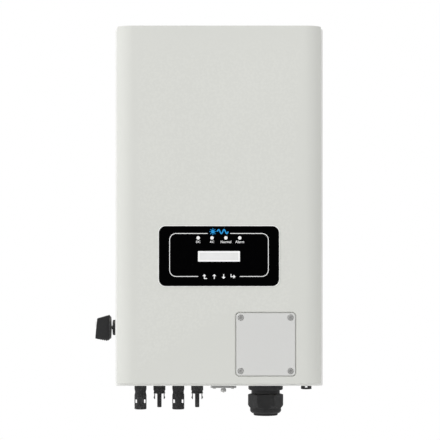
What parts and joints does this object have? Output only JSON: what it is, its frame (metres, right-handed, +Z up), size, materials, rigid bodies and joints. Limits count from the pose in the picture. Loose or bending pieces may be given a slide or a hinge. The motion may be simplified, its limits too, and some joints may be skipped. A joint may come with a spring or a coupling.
{
  "type": "string inverter",
  "caption": "Wall-hung string inverter: ribbed heat sink, deep rounded cover with a display panel, rotary DC switch, solar connectors and a large cable gland below.",
  "frame": {"origin": "centre of the wall bracket's rear face, on the wall", "axes": "+Y into the wall, +Z up, +X to the right as seen from the front, so the front looks along -Y"},
  "size_m": [0.3636, 0.2235, 0.617],
  "materials": {
    "cover_paint": "fine satin powder coat",
    "plate_paint": "fine satin powder coat",
    "housing_paint": "satin powder coat on a casting",
    "aluminium_fins": "extruded, with drawing lines",
    "zinc_sheet": "zinc plated sheet",
    "screw_steel": "stainless",
    "seal_rubber": "matt",
    "panel_sheet": "printed polyester sheet",
    "key_caps": "printed polyester sheet",
    "clear_window": "clear polycarbonate",
    "light_pipe": "milky acrylic",
    "black_nylon": "moulded polyamide",
    "inner_plastic": "moulded",
    "circuit_board": "solder mask",
    "contact_metal": "tinned",
    "natural_nylon": "moulded polyamide, undyed",
    "nickel_brass": "nickel plated"
  },
  "bodies": {
    "root": {"ac_cover": "plate_paint", "ac_cover_gasket": "seal_rubber", "ac_cover_screw_1": "screw_steel", "ac_cover_screw_2": "screw_steel", "ac_cover_screw_3": "screw_steel", "ac_cover_screw_4": "screw_steel", "ac_terminal_block": "inner_plastic", "antenna_jack": "nickel_brass", "boost_inductors": "inner_plastic", "capacitor_bank": "inner_plastic", "comm_plate": "zinc_sheet", "comm_plate_screw_1": "screw_steel", "comm_plate_screw_2": "screw_steel", "control_board": "circuit_board", "cover_screw_1": "screw_steel", "cover_screw_2": "screw_steel", "cover_screw_3": "screw_steel", "cover_screw_4": "screw_steel", "dc_switch_body": "inner_plastic", "dc_switch_escutcheon": "black_nylon", "display_board": "circuit_board", "display_overlay": "panel_sheet", "filter_inductors": "inner_plastic", "front_cover": "cover_paint", "gland_body": "black_nylon", "gland_locknut": "black_nylon", "ground_screw": "nickel_brass", "hanger_bar": "zinc_sheet", "heat_sink": "aluminium_fins", "housing_gasket": "seal_rubber", "lcd_module": "inner_plastic", "lcd_window": "clear_window", "led_lens_1": "light_pipe", "led_lens_2": "light_pipe", "led_lens_3": "light_pipe", "led_lens_4": "light_pipe", "power_board": "circuit_board", "power_module": "inner_plastic", "pv_pin_1": "contact_metal", "pv_pin_2": "contact_metal", "pv_plug_1": "black_nylon", "pv_plug_2": "black_nylon", "pv_socket_1": "black_nylon", "pv_socket_2": "black_nylon", "rear_housing": "housing_paint", "vent_valve": "black_nylon", "wall_bracket": "zinc_sheet"},
    "dc_switch": {"dc_switch_knob": "black_nylon", "dc_switch_shaft": "natural_nylon"},
    "key_back": {"key_back": "key_caps"},
    "key_up": {"key_up": "key_caps"},
    "key_down": {"key_down": "key_caps"},
    "key_enter": {"key_enter": "key_caps"},
    "latch_arm_1": {"latch_arm_1": "black_nylon"},
    "latch_arm_2": {"latch_arm_2": "black_nylon"},
    "latch_arm_3": {"latch_arm_3": "black_nylon"},
    "latch_arm_4": {"latch_arm_4": "black_nylon"},
    "gland_insert": {"gland_insert": "seal_rubber"},
    "gland_nut": {"gland_nut": "black_nylon"},
    "antenna_cap": {"antenna_cap": "nickel_brass"}
  },
  "joints": [
    {"name": "dc_switch_turn", "type": "hinge", "parent": "root", "child": "dc_switch", "pos_m": [-0.173, -0.107, -0.3225], "axis": [-1, 0, 0], "range_deg": [0, 90]},
    {"name": "key_back_press", "type": "slide", "parent": "root", "child": "key_back", "axis": [0, 1, 0], "range_m": [0, 0.0008], "stiffness_N_per_m": 800},
    {"name": "key_up_press", "type": "slide", "parent": "root", "child": "key_up", "axis": [0, 1, 0], "range_m": [0, 0.0008], "stiffness_N_per_m": 800},
    {"name": "key_down_press", "type": "slide", "parent": "root", "child": "key_down", "axis": [0, 1, 0], "range_m": [0, 0.0008], "stiffness_N_per_m": 800},
    {"name": "key_enter_press", "type": "slide", "parent": "root", "child": "key_enter", "axis": [0, 1, 0], "range_m": [0, 0.0008], "stiffness_N_per_m": 800},
    {"name": "latch_arm_1_flex", "type": "hinge", "parent": "root", "child": "latch_arm_1", "pos_m": [-0.10327, -0.107, -0.4286], "axis": [0, -1, 0], "range_deg": [0, 8], "stiffness_Nm_per_rad": 0.05},
    {"name": "latch_arm_2_flex", "type": "hinge", "parent": "root", "child": "latch_arm_2", "pos_m": [-0.08807, -0.107, -0.4286], "axis": [0, 1, 0], "range_deg": [0, 8], "stiffness_Nm_per_rad": 0.05},
    {"name": "latch_arm_3_flex", "type": "hinge", "parent": "root", "child": "latch_arm_3", "pos_m": [-0.04261, -0.107, -0.4286], "axis": [0, -1, 0], "range_deg": [0, 8], "stiffness_Nm_per_rad": 0.05},
    {"name": "latch_arm_4_flex", "type": "hinge", "parent": "root", "child": "latch_arm_4", "pos_m": [-0.02741, -0.107, -0.4286], "axis": [0, 1, 0], "range_deg": [0, 8], "stiffness_Nm_per_rad": 0.05},
    {"name": "gland_insert_slide", "type": "slide", "parent": "root", "child": "gland_insert", "axis": [0, 0, -1], "range_m": [0, 0.004]},
    {"name": "gland_nut_turn", "type": "hinge", "parent": "gland_insert", "child": "gland_nut", "pos_m": [0.0748, -0.107, -0.44], "axis": [0, 0, -1], "range_deg": [0, 720]},
    {"name": "antenna_cap_pull", "type": "slide", "parent": "root", "child": "antenna_cap", "axis": [0, 0, -1], "range_m": [0, 0.008]}
  ],
  "couplings": [
    {"joint": "gland_insert_slide", "follows": "gland_nut_turn", "m_per_rad": 0.0003183}
  ]
}
